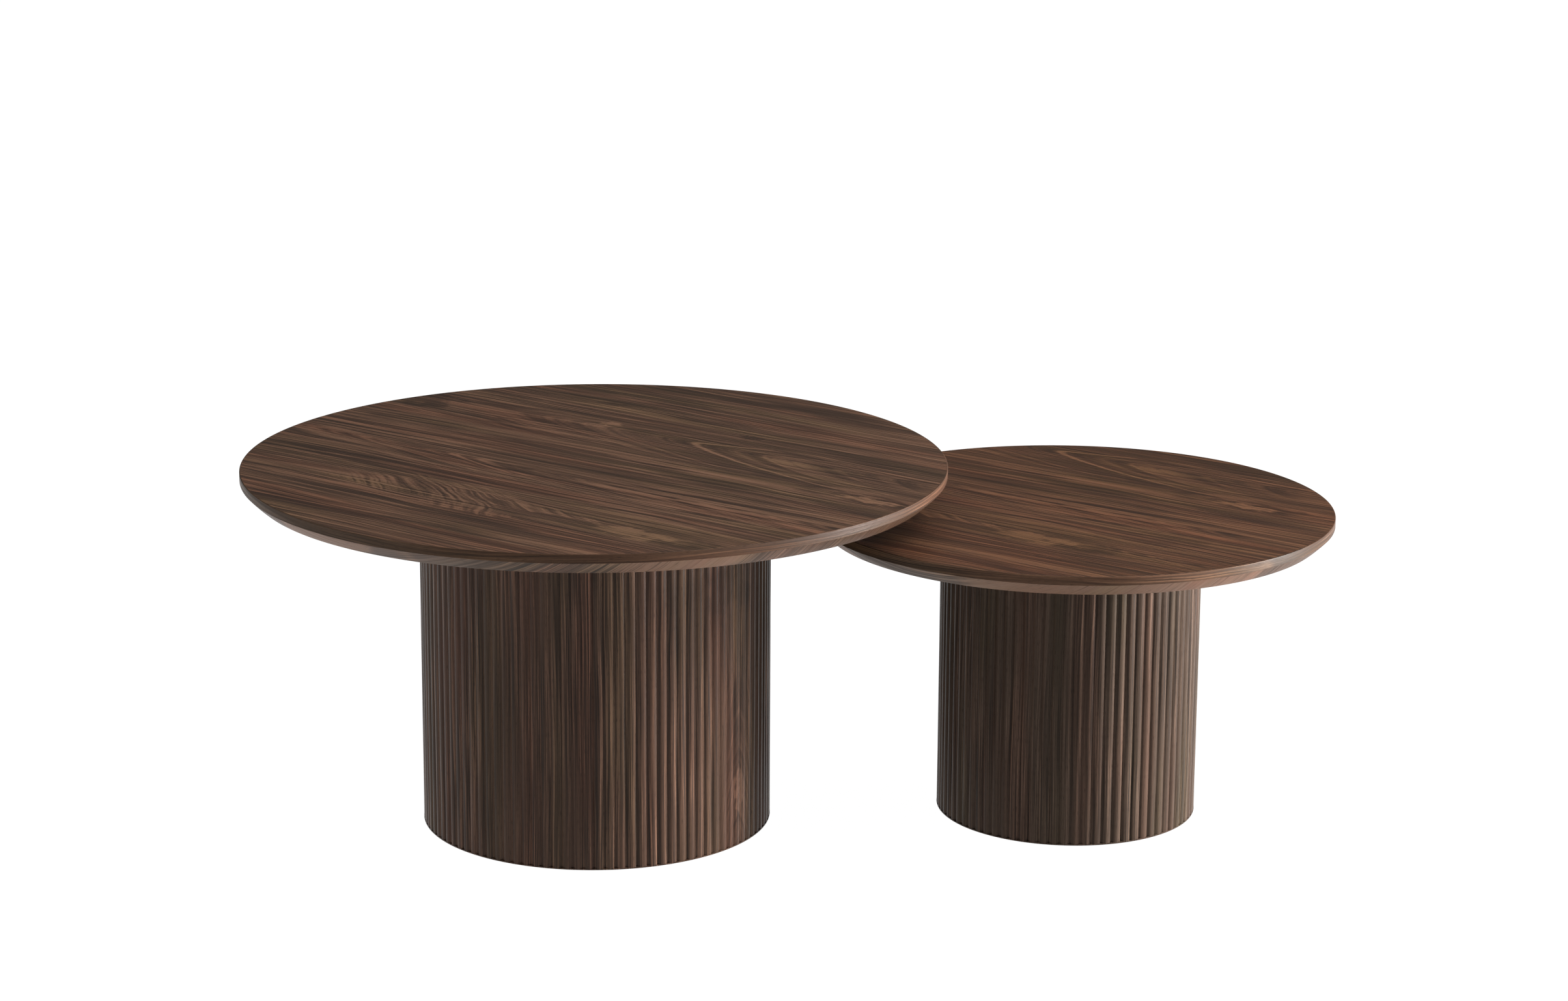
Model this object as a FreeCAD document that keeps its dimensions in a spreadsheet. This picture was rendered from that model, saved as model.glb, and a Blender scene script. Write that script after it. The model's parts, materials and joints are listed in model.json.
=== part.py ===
"""Two round nesting tables. Each is a veneered top with a bevelled rim on a reeded drum.

Millimetres, +Z up. The floor is z = 0 and the origin is the middle of both tables together, on
the floor. The large table stands towards -X and the small one towards +X, partly under it.
"""
import FreeCAD, Part
import os
import Sketcher

Vector = FreeCAD.Vector
UP = Vector(0, 0, 1)

doc = FreeCAD.newDocument("NestingTables")
sheet = doc.addObject("Spreadsheet::Sheet", "Sizes")

SIZES = {
    # the two tables
    "large_top_radius": 400,
    "large_height": 420,
    "large_drum_radius": 200,
    "large_reeds": 104,
    "large_seam_angle": -92.5,
    "large_leaf_shift": 0,
    "small_top_radius": 300,
    "small_height": 360,
    "small_drum_radius": 150,
    "small_reeds": 78,
    "small_seam_angle": -73,
    "small_leaf_shift": 77,
    "axis_spacing": 547,
    # the tops
    "top_thickness": 24,
    "band_height": 10,
    "bevel_inset": 15,
    "band_ply": 1,
    "face_ply": 0.6,
    "leaf_width": 165,
    "grain_angle": -40.8,
    # the drums
    "reed_depth": 2.6,
    "reed_stop": 1.5,
    "reed_stop_step": 0.1,
    "panel_thickness": 8,
    "liner_thickness": 3,
    "plate_thickness": 18,
    "ring_width": 60,
    "rib_thickness": 15,
    "rib_width": 45,
    "post_side": 40,
    "post_inset": 34,
    # the fasteners
    "bolt_inset": 80,
    "bolt_radius": 3,
    "bolt_length": 28,
    "bolt_head_radius": 5.5,
    "bolt_head_height": 3.3,
    "socket_flats": 4,
    "socket_depth": 2,
    "bolt_clearance": 0.5,
    "washer_radius": 9,
    "washer_thickness": 1.6,
    "insert_radius": 4.5,
    "insert_ridge": 0.6,
    "insert_length": 13,
    "insert_hole_depth": 16,
    "screw_radius": 2,
    "screw_length": 45,
    "screw_head_radius": 4,
    "screw_head_height": 3,
    "screw_tip": 4,
    # the feet
    "glide_height": 1.6,
    "glide_radius": 11,
    "glide_easing": 0.5,
    "glide_inset": 16,
    "nail_head_radius": 5,
    "nail_head_height": 1,
    "nail_radius": 1.2,
    "nail_length": 14,
}
for row, (alias, number) in enumerate(SIZES.items(), start=1):
    sheet.set(f"A{row}", alias)
    sheet.set(f"B{row}", str(number))
    sheet.setAlias(f"B{row}", alias)
doc.recompute()

QUARTERS = 4
CORNER_ANGLE = 45


def value(expression):
    """The number that an expression on the sheet gives."""
    return float(sheet.evalExpression(expression))


class Table:
    """The levels and radii of one table, as expressions on the sheet."""

    def __init__(self, name, axis):
        self.name = name
        self.axis = axis
        self.rim = f"Sizes.{name}_top_radius"
        self.surface = f"Sizes.{name}_height"
        self.leaf_shift = f"Sizes.{name}_leaf_shift"
        self.drum = f"Sizes.{name}_drum_radius"
        self.reeds = f"Sizes.{name}_reeds"
        self.seam = f"Sizes.{name}_seam_angle"
        self.underside = f"({self.surface} - Sizes.top_thickness)"
        self.bevel_top = f"({self.surface} - Sizes.band_height)"
        self.drum_foot = "Sizes.glide_height"
        self.panel_back = f"({self.drum} - Sizes.panel_thickness)"
        self.former = f"({self.panel_back} - Sizes.liner_thickness)"
        self.post_foot = "(Sizes.glide_height + Sizes.plate_thickness)"
        self.post_head = f"({self.underside} - Sizes.plate_thickness)"
        self.post_circle = f"({self.former} - Sizes.post_inset)"
        self.bolt_circle = f"({self.former} - Sizes.bolt_inset)"
        self.glide_circle = f"({self.former} - Sizes.glide_inset)"


OVERALL = "(Sizes.large_top_radius + Sizes.axis_spacing + Sizes.small_top_radius)"
LARGE_AXIS = f"(Sizes.large_top_radius - {OVERALL} / 2)"
TABLES = [
    Table("large", LARGE_AXIS),
    Table("small", f"({LARGE_AXIS} + Sizes.axis_spacing)"),
]
parts = []


# ---------------------------------------------------------------- helpers for bodies and sketches

def place(item, table, turn=0, x_shift="0", y_shift="0"):
    """Stand a sub-part on its table's axis, turned about Z, and add it to the list of parts."""
    item.Placement = FreeCAD.Placement(Vector(), FreeCAD.Rotation(UP, turn))
    item.setExpression(".Placement.Base.x", f"{table.axis} + {x_shift}")
    item.setExpression(".Placement.Base.y", y_shift)
    parts.append(item)
    return item


def new_body(table, piece, turn=0, x_shift="0", y_shift="0"):
    body = doc.addObject("PartDesign::Body", f"{table.name}_{piece}")
    body.Label = f"{table.name}_{piece}"
    return place(body, table, turn, x_shift, y_shift)


def origin_feature(body, role):
    return next(item for item in body.Origin.OriginFeatures if item.Role == role)


def new_sketch(body, name, plane, shift_x="0", level="0"):
    """A sketch on one of the body's origin planes, moved along its own x and its normal."""
    sketch = body.newObject("Sketcher::SketchObject", name)
    sketch.AttachmentSupport = (origin_feature(body, plane), "")
    sketch.MapMode = "FlatFace"
    sketch.setExpression(".AttachmentOffset.Base.x", shift_x)
    sketch.setExpression(".AttachmentOffset.Base.z", level)
    return sketch


def pin_point(sketch, geometry, position, name, x, y):
    """Hold a point of the sketch at x, y, both expressions."""
    for kind, axis, letter, expression in (("DistanceX", -2, "x", x), ("DistanceY", -1, "y", y)):
        if expression == "0":
            sketch.addConstraint(Sketcher.Constraint("PointOnObject", geometry, position, axis))
            continue
        index = sketch.addConstraint(Sketcher.Constraint(
            kind, -1, 1, geometry, position, value(expression)))
        sketch.renameConstraint(index, f"{name}_{letter}")
        sketch.setExpression(f"Constraints.{name}_{letter}", expression)


def polygon(sketch, corners):
    """A closed outline through corners, each a pair of expressions."""
    points = [Vector(value(x), value(y), 0) for x, y in corners]
    count = len(points)
    for index in range(count):
        sketch.addGeometry(Part.LineSegment(points[index], points[(index + 1) % count]))
    for index in range(count):
        sketch.addConstraint(Sketcher.Constraint(
            "Coincident", index, 2, (index + 1) % count, 1))
    for index, (x, y) in enumerate(corners):
        pin_point(sketch, index, 1, f"corner{index}", x, y)


def circle(sketch, x, radius, name="circle"):
    """A circle on the sketch's x axis."""
    index = sketch.addGeometry(Part.Circle(Vector(value(x), 0, 0), UP, value(radius)))
    pin_point(sketch, index, 3, name, x, "0")
    rule = sketch.addConstraint(Sketcher.Constraint("Radius", index, value(radius)))
    sketch.renameConstraint(rule, f"{name}_radius")
    sketch.setExpression(f"Constraints.{name}_radius", radius)


def revolve(body, corners, shift_x="0"):
    """Turn an outline of radius and height round its sketch's upright axis."""
    sketch = new_sketch(body, f"{body.Name}_profile", "XZ_Plane", shift_x)
    polygon(sketch, corners)
    turned = body.newObject("PartDesign::Revolution", f"{body.Name}_revolution")
    turned.Profile = sketch
    turned.ReferenceAxis = (sketch, ["V_Axis"])
    turned.Angle = 360
    return turned


def pad(body, sketch, length):
    padded = body.newObject("PartDesign::Pad", f"{sketch.Name}_pad")
    padded.Profile = sketch
    padded.setExpression("Length", length)
    return padded


def pocket(body, sketch, depth, upwards):
    """Cut a sketch into the body, upwards or downwards from its plane, and check that it cut."""
    doc.recompute()
    before = body.Shape.Volume
    cut = body.newObject("PartDesign::Pocket", f"{sketch.Name}_pocket")
    cut.Profile = sketch
    cut.Reversed = upwards
    cut.setExpression("Length", depth)
    doc.recompute()
    if not body.Shape.Volume < before:
        raise RuntimeError(f"{cut.Name} cuts nothing")
    return cut


def drill(body, name, circle_radius, hole_radius, level, depth):
    """One round hole on the body's x side, drilled upwards from a level."""
    sketch = new_sketch(body, f"{body.Name}_{name}", "XY_Plane", level=level)
    circle(sketch, circle_radius, hole_radius)
    return pocket(body, sketch, depth, upwards=True)


def around(body, features, turn=0, count=QUARTERS):
    """Repeat features evenly round the body's upright axis."""
    doc.recompute()
    pattern = body.newObject("PartDesign::PolarPattern", f"{features[0].Name}_pattern")
    pattern.Originals = features
    pattern.Axis = (origin_feature(body, "Z_Axis"), [""])
    pattern.Angle = 360
    pattern.Occurrences = count
    body.Tip = pattern
    return pattern


# ---------------------------------------------------------------- the top

def top_core(table):
    """The fibreboard disc, bevelled below its rim, with blind holes for the inserts."""
    body = new_body(table, "top_core")
    side = f"({table.rim} - Sizes.band_ply)"
    floor = f"({table.underside} + Sizes.face_ply)"
    revolve(body, [("0", floor),
                   (bevel_radius(table, floor), floor),
                   (side, table.bevel_top),
                   (side, f"{table.surface} - Sizes.face_ply"),
                   ("0", f"{table.surface} - Sizes.face_ply")])
    hole = drill(body, "insert_hole", table.bolt_circle, "Sizes.insert_radius", floor,
                 "Sizes.insert_hole_depth")
    around(body, [hole])


def bevel_radius(table, level):
    """The radius of the bevel's inner face at a level."""
    slope = "Sizes.bevel_inset / (Sizes.top_thickness - Sizes.band_height)"
    return f"({table.rim} - Sizes.band_ply - ({table.bevel_top} - {level}) * {slope})"


def backing_veneer(table):
    """The sheet glued under the core, open at the four inserts."""
    body = new_body(table, "backing_veneer")
    upper = f"({table.underside} + Sizes.face_ply)"
    revolve(body, [("0", table.underside),
                   (bevel_radius(table, table.underside), table.underside),
                   (bevel_radius(table, upper), upper),
                   ("0", upper)])
    hole = drill(body, "insert_hole", table.bolt_circle, "Sizes.insert_radius", table.underside,
                 "2 * Sizes.face_ply")
    around(body, [hole])


def edge_band(table):
    """The upright strip round the rim."""
    inner = f"{table.rim} - Sizes.band_ply"
    revolve(new_body(table, "edge_band"), [(inner, table.bevel_top),
                                           (table.rim, table.bevel_top),
                                           (table.rim, table.surface),
                                           (inner, table.surface)])


def bevel_veneer(table):
    """The sloping strip from the edge band down to the underside."""
    outer_foot = f"{table.rim} - Sizes.bevel_inset"
    revolve(new_body(table, "bevel_veneer"),
            [(f"{outer_foot} - Sizes.band_ply", table.underside),
             (outer_foot, table.underside),
             (table.rim, table.bevel_top),
             (f"{table.rim} - Sizes.band_ply", table.bevel_top)])


def face_leaves(table):
    """The face veneer: parallel leaves, joined edge to edge, cut to the rim."""
    radius = value(f"{table.rim} - Sizes.band_ply")
    width = value("Sizes.leaf_width")
    shift = value(table.leaf_shift)
    first = -int((radius + shift) // width) - 1
    last = int((radius - shift) // width)
    turn = value("Sizes.grain_angle")
    for number, step in enumerate(range(last, first - 1, -1), start=1):
        name = f"{table.name}_face_leaf_{number}"
        disc = doc.addObject("Part::Cylinder", f"{name}_disc")
        disc.setExpression("Radius", f"{table.rim} - Sizes.band_ply")
        disc.setExpression("Height", "Sizes.face_ply")
        disc.setExpression(".Placement.Base.z", f"{table.surface} - Sizes.face_ply")
        strip = doc.addObject("Part::Box", f"{name}_strip")
        strip.setExpression("Length", f"2 * {table.rim}")
        strip.setExpression("Width", "Sizes.leaf_width")
        strip.setExpression("Height", "Sizes.face_ply")
        strip.setExpression(".Placement.Base.x", f"-{table.rim}")
        strip.setExpression(".Placement.Base.y", f"{table.leaf_shift} + {step} * Sizes.leaf_width")
        strip.setExpression(".Placement.Base.z", f"{table.surface} - Sizes.face_ply")
        leaf = doc.addObject("Part::Common", name)
        leaf.Base = disc
        leaf.Tool = strip
        leaf.Label = name
        place(leaf, table, turn)


# ---------------------------------------------------------------- the drum

def top_plate(table):
    """The plywood disc that closes the drum and takes the bolts and the post screws."""
    body = new_body(table, "drum_top_plate")
    outline = new_sketch(body, f"{body.Name}_outline", "XY_Plane", level=table.post_head)
    circle(outline, "0", table.former)
    pad(body, outline, "Sizes.plate_thickness")
    hole = drill(body, "bolt_hole", table.bolt_circle,
                 "Sizes.bolt_radius + Sizes.bolt_clearance", table.post_head,
                 "2 * Sizes.plate_thickness")
    around(body, [hole])
    screw_holes(body, table, table.underside, upwards=False)


def bottom_ring(table):
    """The plywood ring at the foot, open in the middle, with holes for post screws and nails."""
    body = new_body(table, "drum_bottom_ring")
    outline = new_sketch(body, f"{body.Name}_outline", "XY_Plane", level=table.drum_foot)
    circle(outline, "0", table.former, "outside")
    circle(outline, "0", f"{table.former} - Sizes.ring_width", "inside")
    pad(body, outline, "Sizes.plate_thickness")
    hole = drill(body, "nail_hole", table.glide_circle, "Sizes.nail_radius", table.drum_foot,
                 "Sizes.nail_length")
    around(body, [hole])
    screw_holes(body, table, table.drum_foot, upwards=True)


def screw_holes(body, table, level, upwards):
    """Counterbored holes at the four posts, from the outer face of a plate."""
    side = f"{table.post_circle} * cos({CORNER_ANGLE})"
    features = []
    for name, radius, depth in (
            ("screw_hole", "Sizes.screw_radius", "2 * Sizes.plate_thickness"),
            ("screw_recess", "Sizes.screw_head_radius", "Sizes.screw_head_height")):
        sketch = new_sketch(body, f"{body.Name}_{name}", "XY_Plane", level=level)
        index = sketch.addGeometry(Part.Circle(
            Vector(value(side), value(side), 0), UP, value(radius)))
        pin_point(sketch, index, 3, "circle", side, side)
        rule = sketch.addConstraint(Sketcher.Constraint("Radius", index, value(radius)))
        sketch.renameConstraint(rule, "circle_radius")
        sketch.setExpression("Constraints.circle_radius", radius)
        features.append(pocket(body, sketch, depth, upwards))
    around(body, features)


def middle_ring(table):
    """The rib half way up the drum, notched round the posts."""
    body = new_body(table, "drum_middle_ring", turn=CORNER_ANGLE)
    middle = f"(({table.drum_foot} + {table.underside} - Sizes.rib_thickness) / 2)"
    outline = new_sketch(body, f"{body.Name}_outline", "XY_Plane", level=middle)
    circle(outline, "0", table.former, "outside")
    circle(outline, "0", f"{table.former} - Sizes.rib_width", "inside")
    pad(body, outline, "Sizes.rib_thickness")
    notch = new_sketch(body, f"{body.Name}_notch", "XY_Plane", level=middle)
    near = f"{table.post_circle} - Sizes.post_side / 2"
    far = f"{table.post_circle} + Sizes.post_side / 2"
    half = "Sizes.post_side / 2"
    polygon(notch, [(near, f"-{half}"), (far, f"-{half}"), (far, half), (near, half)])
    cut = pocket(body, notch, "Sizes.rib_thickness", upwards=True)
    around(body, [cut])


def post(table, number):
    """One square upright between the plate and the bottom ring, with pilot holes in its ends."""
    angle = CORNER_ANGLE + (number - 1) * 360 / QUARTERS
    body = new_body(table, f"drum_post_{number}", turn=angle,
                    x_shift=f"{table.post_circle} * cos({angle})",
                    y_shift=f"{table.post_circle} * sin({angle})")
    half = "Sizes.post_side / 2"
    outline = new_sketch(body, f"{body.Name}_outline", "XY_Plane", level=table.post_foot)
    polygon(outline, [(f"-{half}", f"-{half}"), (half, f"-{half}"),
                      (half, half), (f"-{half}", half)])
    pad(body, outline, f"{table.post_head} - {table.post_foot}")
    pilot = "Sizes.screw_length - Sizes.plate_thickness + Sizes.screw_head_height"
    for name, level, upwards in (("foot", table.post_foot, True), ("head", table.post_head, False)):
        sketch = new_sketch(body, f"{body.Name}_{name}_pilot", "XY_Plane", level=level)
        circle(sketch, "0", "Sizes.screw_radius")
        pocket(body, sketch, pilot, upwards)


def reeded_panel(table, side, half_turn):
    """Half of the drum's skin: upright reeds, each a shallow arc, on a plain curved back.

    The reeds end on a thin plain lip, so that the foot of the drum is a true circle.
    """
    radius = value(table.drum)
    lip = radius + value("Sizes.reed_stop_step")
    valley = radius - value("Sizes.reed_depth")
    back = value(table.panel_back)
    count = int(value(table.reeds)) // 2
    step = 180 / count

    def at(distance, angle):
        return FreeCAD.Rotation(UP, angle).multVec(Vector(distance, 0, 0))

    def slab(front, outermost, low, high):
        """The ground between front, which runs from 0 to 180 degrees, and the plain back."""
        edges = [*front,
                 Part.LineSegment(at(outermost, 180), at(back, 180)),
                 Part.Arc(at(back, 180), at(back, 90), at(back, 0)),
                 Part.LineSegment(at(back, 0), at(outermost, 0))]
        face = Part.Face(Part.Wire([edge.toShape() for edge in edges]))
        face.translate(Vector(0, 0, low))
        return face.extrude(Vector(0, 0, high - low))

    reeds = [Part.Arc(at(valley, index * step), at(radius, (index + 0.5) * step),
                      at(valley, (index + 1) * step)) for index in range(count)]
    foot = value(table.drum_foot)
    stop = foot + value("Sizes.reed_stop")
    reeded = slab(reeds, valley, stop, value(table.underside))
    plain = slab([Part.Arc(at(lip, 0), at(lip, 90), at(lip, 180))], lip, foot, stop)
    panel = doc.addObject("Part::Feature", f"{table.name}_reeded_panel_{side}")
    panel.Label = panel.Name
    panel.Shape = reeded.fuse(plain).removeSplitter()
    place(panel, table, value(table.seam) + half_turn)


def liner(table, side, half_turn):
    """Half of the bent plywood shell behind a reeded panel."""
    body = new_body(table, f"drum_liner_{side}", turn=value(table.seam) + half_turn)
    sketch = new_sketch(body, f"{body.Name}_profile", "XZ_Plane")
    polygon(sketch, [(table.former, table.drum_foot), (table.panel_back, table.drum_foot),
                     (table.panel_back, table.underside), (table.former, table.underside)])
    shell = body.newObject("PartDesign::Revolution", f"{body.Name}_revolution")
    shell.Profile = sketch
    shell.ReferenceAxis = (sketch, ["V_Axis"])
    shell.Angle = 180
    shell.Reversed = False


# ---------------------------------------------------------------- the fasteners and feet

def top_bolts(table):
    """Button-head bolts up through the plate into the inserts."""
    body = new_body(table, "top_bolts")
    seat = f"({table.post_head} - Sizes.washer_thickness)"
    bottom = f"({seat} - Sizes.bolt_head_height)"
    bolt = revolve(body, [("0", bottom),
                          ("Sizes.bolt_head_radius * 0.6", bottom),
                          ("Sizes.bolt_head_radius", f"{seat} - Sizes.bolt_head_height * 0.4"),
                          ("Sizes.bolt_head_radius", seat),
                          ("Sizes.bolt_radius", seat),
                          ("Sizes.bolt_radius", f"{seat} + Sizes.bolt_length - 1"),
                          ("Sizes.bolt_radius - 1", f"{seat} + Sizes.bolt_length"),
                          ("0", f"{seat} + Sizes.bolt_length")], shift_x=table.bolt_circle)
    socket = new_sketch(body, f"{body.Name}_socket", "XY_Plane", shift_x=table.bolt_circle,
                        level=bottom)
    across = "Sizes.socket_flats / 2 / cos(30)"
    polygon(socket, [(f"{across} * cos({angle})", f"{across} * sin({angle})")
                     for angle in range(30, 390, 60)])
    around(body, [bolt, pocket(body, socket, "Sizes.socket_depth", upwards=True)])


def bolt_washers(table):
    body = new_body(table, "bolt_washers")
    lower = f"{table.post_head} - Sizes.washer_thickness"
    hole = "Sizes.bolt_radius + Sizes.bolt_clearance"
    ring = revolve(body, [(hole, lower), ("Sizes.washer_radius", lower),
                          ("Sizes.washer_radius", table.post_head), (hole, table.post_head)],
                   shift_x=table.bolt_circle)
    around(body, [ring])


def threaded_inserts(table):
    """Brass sleeves with a coarse outer ridge, sunk into the core from below."""
    body = new_body(table, "threaded_inserts")
    foot = f"({table.underside} + Sizes.face_ply)"
    ridges = 4
    pitch = f"Sizes.insert_length / {ridges}"
    root = "Sizes.insert_radius - Sizes.insert_ridge"
    corners = [("Sizes.bolt_radius", foot), (root, foot)]
    for ridge in range(ridges):
        corners.append(("Sizes.insert_radius", f"{foot} + {pitch} * {ridge + 0.5}"))
        corners.append((root, f"{foot} + {pitch} * {ridge + 1}"))
    corners.append(("Sizes.bolt_radius", f"{foot} + Sizes.insert_length"))
    around(body, [revolve(body, corners, shift_x=table.bolt_circle)])


def post_screws(table, end, seat, sign):
    """Screws from the outer face of a plate into the ends of the posts."""
    body = new_body(table, f"post_screws_{end}", turn=CORNER_ANGLE)
    shoulder = f"({seat} {sign} Sizes.screw_head_height)"
    tip = f"({shoulder} {sign} Sizes.screw_length)"
    corners = [("0", seat), ("Sizes.screw_head_radius", seat),
               ("Sizes.screw_head_radius", shoulder), ("Sizes.screw_radius", shoulder),
               ("Sizes.screw_radius", f"{tip} {opposite(sign)} Sizes.screw_tip"), ("0", tip)]
    around(body, [revolve(body, corners, shift_x=table.post_circle)])


def opposite(sign):
    return "-" if sign == "+" else "+"


def glides(table):
    """Plastic buttons that stand on the floor, each with a recess for its nail's head."""
    body = new_body(table, "glides")
    recess = f"{table.drum_foot} - Sizes.nail_head_height"
    button = revolve(body, [("0", "0"),
                            ("Sizes.glide_radius - Sizes.glide_easing", "0"),
                            ("Sizes.glide_radius", "Sizes.glide_easing"),
                            ("Sizes.glide_radius", table.drum_foot),
                            ("Sizes.nail_head_radius", table.drum_foot),
                            ("Sizes.nail_head_radius", recess),
                            ("0", recess)], shift_x=table.glide_circle)
    around(body, [button])


def glide_nails(table):
    body = new_body(table, "glide_nails")
    tip = f"{table.drum_foot} + Sizes.nail_length"
    nail = revolve(body, [("0", f"{table.drum_foot} - Sizes.nail_head_height"),
                          ("Sizes.nail_head_radius", f"{table.drum_foot} - Sizes.nail_head_height"),
                          ("Sizes.nail_head_radius", table.drum_foot),
                          ("Sizes.nail_radius", table.drum_foot),
                          ("Sizes.nail_radius", f"{tip} - 2 * Sizes.nail_radius"),
                          ("0", tip)], shift_x=table.glide_circle)
    around(body, [nail])


# ---------------------------------------------------------------- both tables

for each in TABLES:
    top_core(each)
    backing_veneer(each)
    edge_band(each)
    bevel_veneer(each)
    face_leaves(each)
    top_plate(each)
    middle_ring(each)
    bottom_ring(each)
    for place_number in range(1, QUARTERS + 1):
        post(each, place_number)
    for half, turned_by in (("right", 0), ("left", 180)):
        reeded_panel(each, half, turned_by)
        liner(each, half, turned_by)
    top_bolts(each)
    bolt_washers(each)
    threaded_inserts(each)
    post_screws(each, "upper", each.underside, "-")
    post_screws(each, "lower", each.drum_foot, "+")
    glides(each)
    glide_nails(each)

doc.recompute()
for item in doc.Objects:
    if "Invalid" in item.State or "Error" in item.State:
        raise RuntimeError(f"{item.Name} failed: {item.State}")
for item in parts:
    if item.Shape.isNull() or not item.Shape.isValid() or not item.Shape.Solids:
        raise RuntimeError(f"{item.Label} has no valid shape")

os.makedirs("parts", exist_ok=True)
for item in parts:
    item.Shape.exportStep(f"parts/{item.Label}.step")
    box = item.Shape.BoundBox
    print(f"{item.Label:26} {len(item.Shape.Solids):2} solids {item.Shape.Volume:12.1f} mm3  "
          f"x {box.XMin:8.2f} {box.XMax:8.2f}  y {box.YMin:8.2f} {box.YMax:8.2f}  "
          f"z {box.ZMin:7.2f} {box.ZMax:7.2f}")
print(len(parts), "sub-parts")
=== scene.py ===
"""The looks of two round nesting tables: walnut-veneered tops on reeded drums.

Metres, +Z up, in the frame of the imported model. -Y is the front and the small table is towards +X.
"""
import json
import math

import bpy
import numpy as np
from mathutils import Matrix, Vector


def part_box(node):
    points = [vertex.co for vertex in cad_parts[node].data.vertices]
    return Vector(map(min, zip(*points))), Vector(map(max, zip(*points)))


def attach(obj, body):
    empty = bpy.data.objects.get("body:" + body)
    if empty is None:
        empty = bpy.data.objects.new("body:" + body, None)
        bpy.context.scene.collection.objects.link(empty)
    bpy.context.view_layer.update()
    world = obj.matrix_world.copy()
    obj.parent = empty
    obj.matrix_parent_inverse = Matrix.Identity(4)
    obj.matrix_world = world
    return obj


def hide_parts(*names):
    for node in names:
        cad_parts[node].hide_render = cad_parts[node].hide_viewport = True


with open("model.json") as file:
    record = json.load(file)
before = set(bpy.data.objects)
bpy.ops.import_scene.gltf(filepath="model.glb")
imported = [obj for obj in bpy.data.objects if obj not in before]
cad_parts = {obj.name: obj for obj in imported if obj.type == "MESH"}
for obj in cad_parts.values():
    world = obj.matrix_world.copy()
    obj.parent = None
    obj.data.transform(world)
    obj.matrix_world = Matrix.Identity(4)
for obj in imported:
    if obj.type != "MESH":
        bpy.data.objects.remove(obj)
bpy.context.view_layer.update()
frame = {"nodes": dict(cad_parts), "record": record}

MM = 0.001
RIM_STEPS = 720                 # points round a rim
GRAIN_ANGLE = math.radians(-40.8)
LEAF_WIDTH = 165 * MM
# Both tops are cut from one pattern of leaves; this is where each top lies in it.
PATTERN_SHIFT = {"large": (0.0, 0.0), "small": (190 * MM, -77 * MM)}
STRIP_SEAM = math.radians(180)  # where the ends of the rim strips meet
LEAF_COLUMNS = 41               # points along one row of a leaf
REEDS = {"large": 104, "small": 78}
REED_DEPTH = 2.6 * MM
POINTS_PER_REED = 14
REED_ROWS = 27                  # points up one reed
SEAM_ANGLE = {"large": math.radians(-92.5), "small": math.radians(-73)}
rng = np.random.default_rng(7)


# ---------------------------------------------------------------- measures taken from the frame

class Table:
    """The centre, radii and levels of one table, read from its CAD nodes."""

    def __init__(self, name):
        self.name = name
        self.body = f"{name}_table"
        low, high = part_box(f"{name}_edge_band")
        self.x = (low.x + high.x) / 2
        self.y = (low.y + high.y) / 2
        self.rim = (high.x - low.x) / 2
        self.band_foot = low.z
        self.surface = high.z
        self.leaf_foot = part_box(f"{name}_face_leaf_1")[0].z
        core_low, core_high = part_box(f"{name}_top_core")
        self.band_ply = self.rim - (core_high.x - core_low.x) / 2
        self.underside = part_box(f"{name}_bevel_veneer")[0].z
        self.bevel_foot = max(self.reach(v.co) for v in self.vertices("bevel_veneer")
                              if v.co.z < self.underside + 0.1 * MM)
        self.drum_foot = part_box(f"{name}_reeded_panel_left")[0].z
        panel = [(self.reach(v.co), v.co.z) for v in self.vertices("reeded_panel_left")]
        self.lip = max(reach for reach, z in panel)
        self.lip_top = min(z for reach, z in panel if z > self.drum_foot + 0.1 * MM)
        self.drum = max(reach for reach, z in panel if z > self.lip_top + 1 * MM)
        self.panel_back = min(reach for reach, z in panel)

    def vertices(self, piece):
        return frame["nodes"][f"{self.name}_{piece}"].data.vertices

    def reach(self, point):
        return math.hypot(point.x - self.x, point.y - self.y)

    def leaves(self):
        """(node, lower joint, upper joint) of each leaf, across the grain from the axis."""
        found = []
        for node in sorted(frame["nodes"]):
            if node.startswith(f"{self.name}_face_leaf"):
                across = [self.across(v.co) for v in frame["nodes"][node].data.vertices]
                found.append((node, min(across), max(across)))
        return found

    def across(self, point):
        return ((point.y - self.y) * math.cos(GRAIN_ANGLE)
                - (point.x - self.x) * math.sin(GRAIN_ANGLE))


TABLES = [Table("large"), Table("small")]


# ---------------------------------------------------------------- meshes

def to_pattern(table, points):
    """Where points of a top lie in the veneer pattern, 1 for the small table's tint and painted
    shade.
    """
    x = points[..., 0] - table.x
    y = points[..., 1] - table.y
    shift_along, shift_across = PATTERN_SHIFT[table.name]
    along = x * math.cos(GRAIN_ANGLE) + y * math.sin(GRAIN_ANGLE) + shift_along
    across = y * math.cos(GRAIN_ANGLE) - x * math.sin(GRAIN_ANGLE) + shift_across
    return np.stack([along, across, np.full_like(along, table.name == "small")], axis=-1)


def grid_faces(rows, columns, start=0, flip=False):
    """Quads between neighbouring points of a grid, whose points are stored row by row."""
    first = start + np.arange(rows - 1)[:, None] * columns + np.arange(columns - 1)[None, :]
    corners = [first, first + 1, first + columns + 1, first + columns]
    if flip:
        corners.reverse()
    return np.stack(corners, axis=-1).reshape(-1, 4)


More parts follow.
